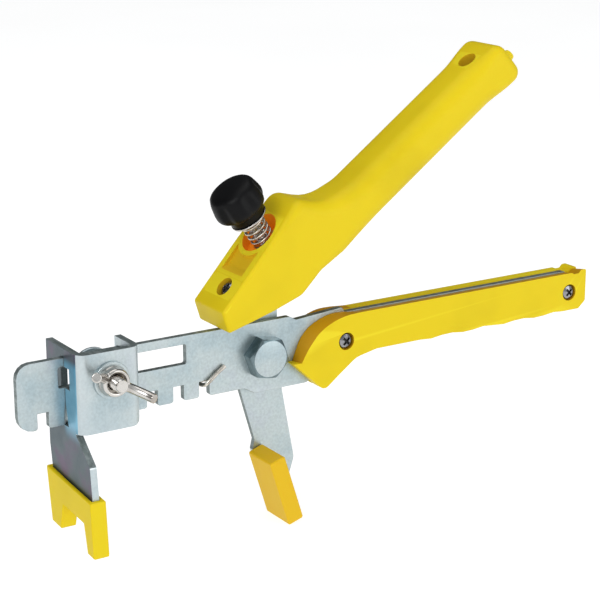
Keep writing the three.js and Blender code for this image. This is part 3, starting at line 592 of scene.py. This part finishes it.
def cross_recess_shade():
    """Painted shade down in a cross recess: near black."""
    mat, tree, shader = material("cross_recess_shade")
    tree.links.new(ramp(tree, noise(tree, 700, 4), [
        (0.35, (0.010, 0.010, 0.011)),
        (0.7, (0.045, 0.042, 0.040)),
    ]), shader.inputs["Base Color"])
    shader.inputs["Metallic"].default_value = 0.5
    shader.inputs["Roughness"].default_value = 0.6
    bump(tree, shader, noise(tree, 1800, 3), 0.2, 0.00004)
    return mat


def black_plastic():
    mat, tree, shader = material("black_plastic")
    tree.links.new(ramp(tree, noise(tree, 90, 3), [
        (0.35, (0.0016, 0.0016, 0.0019)),
        (0.7, (0.0032, 0.0032, 0.0038)),
    ]), shader.inputs["Base Color"])
    tree.links.new(spread(tree, noise(tree, 260, 4), 0.34, 0.50), shader.inputs["Roughness"])
    shader.inputs["Specular IOR Level"].default_value = 0.13
    bump(tree, shader, noise(tree, 1300, 3), 0.12, 0.00006)
    return mat


def floor_material():
    mat, tree, shader = material("floor")
    tree.links.new(ramp(tree, noise(tree, 3, 2), [
        (0.3, (0.40, 0.40, 0.40)),
        (0.7, (0.44, 0.44, 0.44)),
    ]), shader.inputs["Base Color"])
    shader.inputs["Roughness"].default_value = 0.9
    shader.inputs["Specular IOR Level"].default_value = 0.1
    shader.inputs["Emission Color"].default_value = (1, 1, 1, 1)
    shader.inputs["Emission Strength"].default_value = FLOOR_GLOW
    return mat


FACE = zinc_face()
LEG_DARK_REFLECTION = zinc_leg_dark_reflection()
EDGE_SHADE = zinc_edge_painted_shade()
NICKEL = polished("nickel", (0.40, 0.37, 0.34), (0.62, 0.60, 0.57))
SCREW = polished("screw_steel", (0.16, 0.16, 0.17), (0.34, 0.34, 0.36))
BOLT = polished("bolt_zinc", (0.09, 0.13, 0.14), (0.20, 0.26, 0.28), 0.10, 0.22)
WIRE = spring_wire()
YELLOW = yellow_plastic("yellow_plastic", (0.72, 0.545, 0.008))
# amber copy of the yellow: painted shade
AMBER_SHADE = yellow_plastic("amber_shade_plastic", (0.66, 0.39, 0.006))
# ochre copy of the yellow: painted shade
OCHRE_SHADE = yellow_plastic("ochre_shade_plastic", (0.50, 0.26, 0.005))
RECESS_GLOW_PAINT = recess_painted_glow()
CROSS_SHADE = cross_recess_shade()
BLACK = black_plastic()


def sheet_materials(obj, is_face):
    """Plating on the sheet's broad faces, and on its edges the sheared look, painted darker as shade."""
    obj.data.materials.append(FACE)
    obj.data.materials.append(EDGE_SHADE)
    for polygon in obj.data.polygons:
        polygon.material_index = 0 if is_face(polygon) else 1


# ---------------------------------------------------------------- plates
plate = refined("main_plate", "frame", 0.22, 2)
sheet_materials(plate, lambda p: abs(p.normal.y) > 0.7)

lever = refined("lever", "lever_arm", 0.22, 2)
# The lever's bent tabs show broad faces that look sideways, nearer than its own sheet.
sheet_materials(
    lever,
    lambda p: abs(p.normal.y) > 0.7 or (p.area > TAB_FACE_AREA and p.center.y < TAB_FAR * MM),
)

bracket = refined("front_bracket", "jaw", 0.25, 2)
sheet_materials(
    bracket,
    lambda p: abs(p.normal.z) < 0.5 and (abs(p.normal.x) > 0.7 or p.normal.y < -0.3),
)
# the front leg's far-left face takes the dark leg material: a painted dark reflection
bracket.data.materials.append(LEG_DARK_REFLECTION)
for polygon in bracket.data.polygons:
    if polygon.normal.x < -0.7 and polygon.center.x < LEG_FRONT * MM + 0.0005:
        polygon.material_index = 2

# ---------------------------------------------------------------- yellow mouldings
for node, body, width in (
    ("lower_grip_near", "frame", 1.0),
    ("lower_grip_far", "frame", 1.0),
    ("foot_cap", "lever_arm", 0.9),
    ("jaw_cap", "jaw", 0.5),
):
    moulding = refined(node, body, width, 3, 35)
    # the foot cap is amber all over: painted shade
    moulding.data.materials.append(AMBER_SHADE if node == "foot_cap" else YELLOW)
    # the lower grips' top and arc faces are painted ochre: painted shade
    if node.startswith("lower_grip"):
        moulding.data.materials.append(OCHRE_SHADE)
        for polygon in moulding.data.polygons:
            inner = abs(polygon.normal.y) < 0.5 and polygon.center.z > -0.005
            if inner and (polygon.center.x < 0.045 or node == "lower_grip_near"):
                polygon.material_index = 1


def dense(points, longest=2.5):
    """The same outline with extra points along its straight runs."""
    out = []
    for i, here in enumerate(points):
        back = points[i - 1]
        parts = max(1, math.ceil((here - back).length / longest))
        out += [back.lerp(here, k / parts) for k in range(1, parts + 1)]
    return out


def upper_grip_outline():
    low, high = -HANDLE_HALF_HEIGHT, HANDLE_HALF_HEIGHT
    return dense(rounded([
        (*NOSE_TOP, 1.6),
        (-22.4, 15.7, 1.6),
        (-0.3, 22.0, 30),
        (14.3, 27.1, 8),
        (24.6, 36.2, 12),
        (*on_handle(-30, low), 16),
        (*on_handle(HANDLE_LENGTH, low), 5),
        (*on_handle(HANDLE_LENGTH - 2, high), 5.5),
        (*on_handle(-9, high), 26),
        (28.5, 65.0, 20),
        (13.0, 68.8, 5.5),
    ]))


def screw_cutter(seat, aim, sides=40):
    """A round cutter from a screw's seat outward along its axis."""
    rows = [(0, 0), (SCREW_WELL_RADIUS, 0)]
    rows += [(SCREW_WELL_RADIUS, -SCREW_WELL_DEPTH), (0, -SCREW_WELL_DEPTH)]
    bm = spun(rows, sides, (seat[0], TAB_SCREW_Y, seat[1]), (math.cos(aim), 0, math.sin(aim)))
    return from_bmesh("cutter", bm)


def knob_cutter(low, high, radius, sides=56):
    """A round cutter along the tension screw's axis."""
    bm = spun([(0, low), (radius, low), (radius, high), (0, high)], sides, SCREW_ORIGIN, SCREW_DIRECTION)
    return from_bmesh("cutter", bm)


def face_hollow():
    """The dish of the front face between the screw and the round rim of the knob's recess; its walls are
    painted amber as shade.
    """
    points = rounded([
        (*on_face(15.5, -2.0), 0),
        (*on_face(15.5, -0.1), 0),
        (*on_face(21.0, 2.6), 4),
        (*on_face(30.0, 2.9), 0),
        (*on_face(34.0, -2.0), 0),
    ])
    near = HANDLE_MIDDLE - DISH_HALF_WIDTH
    far = HANDLE_MIDDLE + DISH_HALF_WIDTH
    mesh = from_bmesh("cutter", prism(points, near, far))
    dish = bpy.data.objects.new("dish", mesh)
    bpy.context.scene.collection.objects.link(dish)
    carve(dish, [(knob_cutter(-30, 40, RIM_RADIUS), AMBER_SHADE)])
    mesh = dish.data
    bpy.data.objects.remove(dish)
    return mesh


def smooth_step(low, high, value):
    t = min(1.0, max(0.0, (value - low) / (high - low)))
    return t * t * (3 - 2 * t)


def edge_radius(point):
    """The rounding of the handle's long edges: tight at the nose, full along the grip."""
    along = ((point[0] - HANDLE_POINT[0]) * math.cos(HANDLE_ANGLE)
             + (point[1] - HANDLE_POINT[1]) * math.sin(HANDLE_ANGLE))
    fuller = smooth_step(-64, -4, along) * (FULL_ROUND - NOSE_ROUND)
    return NOSE_ROUND + fuller - smooth_step(64, 81, along) * (FULL_ROUND - END_ROUND)


def rounded_prism(points, middle, half, steps=8):
    """A closed prism whose edges are rounded by a radius that changes along the outline."""
    count = len(points)
    area = sum(points[i - 1].x * points[i].y - points[i].x * points[i - 1].y for i in range(count))
    turn = 1 if area > 0 else -1
    inward = []
    for i, point in enumerate(points):
        run = (points[(i + 1) % count] - points[i - 1]).normalized()
        inward.append(Vector((-run.y, run.x)) * turn)
    bm = bmesh.new()
    rings = []
    levels = [(-1, 90 * k / steps) for k in range(steps, -1, -1)]
    levels += [(1, 90 * k / steps) for k in range(steps + 1)]
    for side, degrees in levels:
        a = math.radians(degrees)
        ring = []
        for point, inner in zip(points, inward):
            radius = edge_radius(point)
            spot = point + inner * radius * (1 - math.cos(a))
            y = middle + side * (half - radius * (1 - math.sin(a)))
            ring.append(bm.verts.new((spot.x * MM, y * MM, spot.y * MM)))
        rings.append(ring)
    bm.faces.new(rings[0])
    bm.faces.new(reversed(rings[-1]))
    for low, high in zip(rings, rings[1:]):
        for i in range(count):
            j = (i + 1) % count
            bm.faces.new((low[j], low[i], high[i], high[j]))
    return bm


def make_upper_grip():
    bm = rounded_prism(upper_grip_outline(), HANDLE_MIDDLE, HANDLE_WIDTH / 2)
    obj = new_object("upper_grip_moulding", from_bmesh("upper_grip_moulding", bm),
                     "lever_arm", ["upper_grip"])
    face_aim = FACE_ANGLE - math.pi / 2
    handle_aim = HANDLE_ANGLE - math.pi / 2
    slot = prism([(-13.6, 8), (9.6, 8), (9.6, 30), (-11, 30)], LEVER_NEAR - 0.3, LEVER_FAR + 0.3)
    obj.data.materials.append(YELLOW)
    carve(obj, [
        # dish and screw wells: walls painted amber as shade
        (face_hollow(), AMBER_SHADE),
        (screw_cutter(on_face(*FACE_SCREW_SEAT), face_aim), AMBER_SHADE),
        (screw_cutter(on_handle(*HANDLE_SCREW_SEAT), handle_aim), AMBER_SHADE),
        # knob recess and screw bore: painted orange with a painted glow
        (knob_cutter(-25, RECESS_FLOOR, RECESS_RADIUS), RECESS_GLOW_PAINT),
        (knob_cutter(RECESS_FLOOR - 0.5, RECESS_FLOOR + 20, SCREW_RADIUS + 0.3), RECESS_GLOW_PAINT),
        (from_bmesh("cutter", slot), YELLOW),
    ])
    bevel = obj.modifiers.new("edges", "BEVEL")
    bevel.width = 0.45 * MM
    bevel.segments = 2
    bevel.limit_method = "ANGLE"
    bevel.angle_limit = math.radians(38)
    bevel.loop_slide = False
    shade(obj, 38)


make_upper_grip()


def make_stub():
    """The small round moulding stub on the handle's end."""
    start = on_handle(HANDLE_LENGTH - 3, -4.5)
    direction = (math.cos(HANDLE_ANGLE), 0, math.sin(HANDLE_ANGLE))
    rows = [(0, 0), (STUB_RADIUS, 0), (STUB_RADIUS, STUB_LENGTH - 0.8)]
    rows += [(STUB_RADIUS - 0.3, STUB_LENGTH - 0.2), (STUB_RADIUS - 0.9, STUB_LENGTH), (0, STUB_LENGTH)]
    bm = spun(rows, 28, (start[0], HANDLE_MIDDLE, start[1]), direction)
    obj = new_object("upper_grip_stub", from_bmesh("upper_grip_stub", bm), "lever_arm")
    obj.data.materials.append(YELLOW)
    shade(obj)


make_stub()

# ---------------------------------------------------------------- screws, nuts and washers
def darken_recess(screw):
    """Painted shade in a screw's cross recess: the faces near the axis, just below the head's top."""
    name = screw.name
    if name.startswith("lower"):
        axis = Vector((0, 1, 0))
    else:
        aim = (FACE_ANGLE if "front" in name else HANDLE_ANGLE) - math.pi / 2
        axis = Vector((math.cos(aim), 0, math.sin(aim)))
    low = min(v.co.dot(axis) for v in screw.data.vertices)
    centre = sum((Vector(corner) for corner in screw.bound_box), Vector()) / 8
    screw.data.materials.append(CROSS_SHADE)
    for polygon in screw.data.polygons:
        arm = polygon.center - centre
        reach = (arm - axis * arm.dot(axis)).length
        depth = polygon.center.dot(axis) - low
        if 0.2 * MM < depth < 2.4 * MM and reach < 1.9 * MM:
            polygon.material_index = 1


for node, body, width in (
    ("lower_grip_screw_front", "frame", 0.12),
    ("lower_grip_screw_rear", "frame", 0.12),
    ("lower_grip_nut_front", "frame", 0.25),
    ("lower_grip_nut_rear", "frame", 0.25),
    ("upper_grip_screw_front", "lever_arm", 0.12),
    ("upper_grip_screw_rear", "lever_arm", 0.12),
    ("tension_nut", "lever_arm", 0.25),
    ("knob_washer", "knob_seat", 0.2),
):
    part = refined(node, body, width, 2, 34)
    part.data.materials.append(SCREW if "screw" in node else NICKEL)
    if "screw" in node:
        darken_recess(part)

for node, body, width in (
    ("pivot_bush", "frame", 0.3),
    ("pivot_washer", "frame", 0.3),
    ("pivot_nut", "frame", 0.6),
    ("clamp_washer", "jaw", 0.3),
    ("wing_washer", "clamp_seat", 0.25),
):
    part = refined(node, body, width, 2, 34)
    part.data.materials.append(FACE)


def make_wing_nut():
    """A cast wing nut: a countersunk barrel and two blunt round wings, melted into one body."""
    x, z = CLAMP_AXIS
    rows = [(3.15, 0), (3.15, -2.2), (4.3, -4.4), (5.2, -4.6), (5.9, -3.9)]
    rows += [(6.3, -1.6), (6.6, -1.0), (6.6, 0)]
    bm = spun(rows, 48, (x, NUT_SEAT, z), (0, 1, 0))
    route = smooth_path([(4.7, 0, -2.7), (8.4, 0, -4.6), (12.2, 0, -8.2), (14.4, 0, -12.0)], 6)
    for turn in (0, math.pi):
        heading = WING_TILT + turn
        c, s = math.cos(heading), math.sin(heading)
        points = [(x + p.x * c, NUT_SEAT + p.z, z + p.x * s) for p in route]
        wing = from_bmesh("wing", tube(points, WING_RADIUS, 20))
        bm.from_mesh(wing)
        bpy.data.meshes.remove(wing)
    nut = new_object("wing_nut_cast", from_bmesh("wing_nut_cast", bm), "clamp_nut",
                     ["wing_nut"])
    remesh = nut.modifiers.new("cast", "REMESH")
    remesh.mode = "VOXEL"
    remesh.voxel_size = 0.30 * MM
    melt = nut.modifiers.new("melt", "SMOOTH")
    melt.factor = 0.5
    melt.iterations = 8
    apply_modifiers(nut)
    nut.data.materials.clear()
    nut.data.materials.append(NICKEL)
    shade(nut, 60)


make_wing_nut()


def make_pivot_bolt():
    """The hexagon bolt: a flat round face, a chamfer that leaves six arcs, and its shank."""
    half, twist, sides = HEAD_FLATS / 2, math.radians(HEAD_TWIST), 96
    bm = bmesh.new()

    def hexagon_radius(angle):
        return half / math.cos((angle - twist) % (math.pi / 3) - math.pi / 6)

    def ring(radius, depth):
        points = []
        for k in range(sides):
            angle = twist + 2 * math.pi * k / sides
            r, y = radius(angle), depth(angle)
            points.append(bm.verts.new((r * math.sin(angle) * MM, y * MM, r * math.cos(angle) * MM)))
        return points

    face = half * HEAD_FACE_SHARE
    rings = [
        ring(lambda a: face - 0.25, lambda a: 0.0),
        ring(lambda a: face, lambda a: 0.08),
        ring(hexagon_radius, lambda a: 0.08 + (hexagon_radius(a) - face) * 0.62),
        ring(hexagon_radius, lambda a: HEAD_HEIGHT),
        ring(lambda a: PIVOT_RADIUS, lambda a: HEAD_HEIGHT),
        ring(lambda a: PIVOT_RADIUS, lambda a: SHANK_END),
    ]
    bm.faces.new(rings[0])
    bm.faces.new(reversed(rings[-1]))
    for low, high in zip(rings, rings[1:]):
        for k in range(sides):
            j = (k + 1) % sides
            bm.faces.new((low[j], low[k], high[k], high[j]))
    bolt = new_object("pivot_bolt_finished", from_bmesh("pivot_bolt_finished", bm), "frame",
                      ["pivot_bolt"])
    bolt.data.materials.append(BOLT)
    bolt.data.materials.append(FACE)
    for polygon in bolt.data.polygons:
        polygon.material_index = 1 if len(polygon.vertices) > 8 else 0
    shade(bolt, 25)


make_pivot_bolt()


def add_thread(name, radius, pitch, low, high, origin, direction, body, mat):
    bm = threaded(radius, pitch, 0.55 * pitch, low, high, origin, direction)
    obj = new_object(name, from_bmesh(name, bm), body)
    obj.data.materials.append(mat)
    shade(obj, 50)
    return obj


def make_clamp_bolt():
    """The clamp bolt: a mushroom head behind the plate and a thread with a flat polished end."""
    x, z = CLAMP_AXIS
    bm = threaded(CLAMP_RADIUS, SCREW_PITCH, 0.5, CLAMP_END, 11.0, (x, 0, z), (0, 1, 0))
    obj = new_object("clamp_bolt_thread", from_bmesh("clamp_bolt_thread", bm), "jaw",
                     ["clamp_bolt"])
    obj.data.materials.append(NICKEL)
    shade(obj, 50)
    base = PLATE_FAR + 1.9
    radius = CLAMP_HEAD_RADIUS
    rows = [(0, base), (radius - 0.2, base), (radius, base + 0.25)]
    angles = [k * math.pi / 2 / 8 for k in range(8)]
    rows += [(radius * math.cos(a), base + 0.4 + 3.2 * math.sin(a)) for a in angles]
    rows.append((0, base + 3.6))
    mesh = from_bmesh("clamp_bolt_head", spun(rows, 40, (x, 0, z), (0, 1, 0)))
    dome = new_object("clamp_bolt_head", mesh, "jaw")
    dome.data.materials.append(NICKEL)
    shade(dome, 50)


make_clamp_bolt()

tension_screw = add_thread("tension_screw_thread", SCREW_RADIUS, SCREW_PITCH, -11.4, SCREW_TIP,
                           SCREW_ORIGIN, SCREW_DIRECTION, "knob", NICKEL)
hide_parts("tension_screw")


# ---------------------------------------------------------------- knob
def make_knob():
    """The lobed knob: broad lobes that fade into the low domed top, over a round collar."""
    rows = [(0, 18.0), (3.0, 17.92), (6.0, 17.6), (8.2, 17.1), (9.5, 16.45), (10.3, 15.6), (10.8, 14.5)]
    rows += [(11.2, 12.8), (11.6, 10.8), (KNOB_RADIUS, 9.0), (11.7, 7.6), (11.3, 6.4), (10.6, 5.5)]
    rows += [(9.8, 4.9), (KNOB_COLLAR + 0.6, 4.5), (KNOB_COLLAR + 0.2, 3.9), (KNOB_COLLAR, 1.5)]
    rows += [(KNOB_COLLAR - 0.4, 1.05), (3.35, 1.0), (3.35, 11.9), (0, 11.9)]
    rows = [(radius, -height) for radius, height in rows]

    def lobe(angle, height, radius):
        if radius < 6:
            return radius
        rise = smooth_step(-KNOB_HEIGHT + 0.5, -KNOB_HEIGHT + 6.0, height)
        fall = smooth_step(-4.4, -6.4, height)
        groove = (0.5 + 0.5 * math.cos(KNOB_LOBES * angle)) ** 2.5
        return radius - 1.0 * groove * rise * fall

    bm = spun(rows, 126, SCREW_ORIGIN, SCREW_DIRECTION, lobe)
    obj = new_object("tension_knob_moulding", from_bmesh("tension_knob_moulding", bm), "knob",
                     ["tension_knob"])
    obj.data.materials.append(BLACK)
    shade(obj, 45)


make_knob()


# ---------------------------------------------------------------- springs
def make_knob_spring():
    """The compression spring round the tension screw, between the recess floor and the washer."""
    count = SPRING_TURNS * 28
    length = RECESS_FLOOR - 2 * SPRING_WIRE - 0.4
    aim = Vector(SCREW_DIRECTION).to_track_quat("Z", "Y")
    points = []
    for k in range(count + 1):
        turn = 2 * math.pi * SPRING_TURNS * k / count
        local = Vector((SPRING_RADIUS * math.cos(turn), SPRING_RADIUS * math.sin(turn),
                        SPRING_WIRE + 0.2 + length * k / count))
        points.append(Vector(SCREW_ORIGIN) + aim @ local)
    obj = new_object("knob_spring_coil", from_bmesh("knob_spring_coil", tube(points, SPRING_WIRE)),
                     "lever_arm", ["knob_spring"])
    obj.data.materials.append(WIRE)
    shade(obj, 60)
    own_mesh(obj)


make_knob_spring()


def make_return_spring():
    """The torsion spring: a coil round the bush, a leg hooked through the plate's rear notch."""
    notch = FIRST_NOTCH + 6 * NOTCH_PITCH + NOTCH_HALF
    coil_near = LEVER_FAR + 1.1
    coil_length = COIL_PITCH * COIL_TURNS
    points = [
        (-19.8, PLATE_NEAR - 1.15, -0.9),
        (-23.8, PLATE_NEAR - 1.15, -3.6),
        (notch + 1.6, PLATE_NEAR - 1.2, -6.6),
        (notch, PLATE_NEAR + 0.4, -8.3),
        (notch - 0.6, PLATE_FAR + 1.6, -8.3),
        (notch + 3, coil_near, -8.4),
    ]
    steps = 66
    for k in range(steps + 1):
        turn = 1.5 * math.pi + 2 * math.pi * COIL_TURNS * k / steps
        y = coil_near + coil_length * k / steps
        points.append((COIL_RADIUS * math.cos(turn), y, COIL_RADIUS * math.sin(turn)))
    end = points[-1]
    hole_x, hole_z = -4.6, -12.4
    points += [(end[0] - 0.5, end[1], -9), (-7.4, end[1] - 1.5, -13)]
    points += [(hole_x, LEVER_FAR + 2.5, hole_z - 0.5), (hole_x, LEVER_FAR + 0.6, hole_z)]
    points += [(hole_x, LEVER_NEAR + 0.4, hole_z)]
    mesh = from_bmesh("return_spring_wire", tube(smooth_path(points, 5), COIL_WIRE))
    obj = new_object("return_spring_wire", mesh, None, ["return_spring"])
    obj.data.materials.append(WIRE)
    shade(obj, 60)
    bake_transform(obj)


make_return_spring()

add_thread("pivot_bolt_thread", PIVOT_RADIUS + 0.02, PIVOT_PITCH, SHANK_END, PIVOT_END,
           (0, 0, 0), (0, 1, 0), "frame", FACE)

# ---------------------------------------------------------------- floor, light and camera
floor = bpy.data.objects.new("floor", bpy.data.meshes.new("floor"))
bpy.context.scene.collection.objects.link(floor)
ground = bmesh.new()
bmesh.ops.create_grid(ground, x_segments=1, y_segments=1, size=6)
ground.to_mesh(floor.data)
ground.free()
floor.location = (0, 0, cad_low.z - FLOOR_DROP * MM)
floor.data.materials.append(floor_material())


def area_light(name, location, target, size, power):
    data = bpy.data.lights.new(name, "AREA")
    data.shape = "RECTANGLE"
    data.size = size
    data.size_y = size
    data.energy = power
    lamp = bpy.data.objects.new(name, data)
    bpy.context.scene.collection.objects.link(lamp)
    lamp.location = location
    aim = Vector(target) - Vector(location)
    lamp.rotation_euler = aim.to_track_quat("-Z", "Y").to_euler()


area_light("key", (0.65, -1.05, 0.35), (0, 0, 0.02), 0.8, 3.4)
area_light("fill", (-1.2, -0.6, 0.9), (0, 0, 0.02), 0.8, 9.5)
area_light("top", (0, 0.2, 1.5), (0, 0, 0), 1.2, 6.5)


def studio():
    """A soft room: bright in front of the object and darker behind it."""
    world = bpy.data.worlds.new("studio")
    world.use_nodes = True
    tree = world.node_tree
    background = tree.nodes["Background"]
    coords = tree.nodes.new("ShaderNodeTexCoord")
    split = tree.nodes.new("ShaderNodeSeparateXYZ")
    level = tree.nodes.new("ShaderNodeMapRange")
    level.interpolation_type = "SMOOTHSTEP"
    level.inputs["From Min"].default_value = -0.6
    level.inputs["From Max"].default_value = 0.35
    level.inputs["To Min"].default_value = 0.70
    level.inputs["To Max"].default_value = 0.10
    tree.links.new(coords.outputs["Generated"], split.inputs["Vector"])
    tree.links.new(split.outputs["Y"], level.inputs["Value"])
    tree.links.new(level.outputs["Result"], background.inputs["Strength"])
    background.inputs["Color"].default_value = (0.95, 0.98, 1.0, 1)
    bpy.context.scene.world = world


studio()
bpy.context.scene.view_settings.view_transform = "Standard"

camera_data = bpy.data.cameras.new("camera")
camera_data.sensor_width = 36
camera_data.lens = CAMERA_LENS
camera_data.clip_start = 0.05
camera_data.clip_end = 50
camera = bpy.data.objects.new("camera", camera_data)
bpy.context.scene.collection.objects.link(camera)
right = Vector(CAMERA_RIGHT)
up = Vector(CAMERA_UP)
back = right.cross(up)
camera.matrix_world = Matrix.Translation(CAMERA_PLACE) @ Matrix((
    (right.x, up.x, back.x),
    (right.y, up.y, back.y),
    (right.z, up.z, back.z),
)).to_4x4()
bpy.context.scene.camera = camera
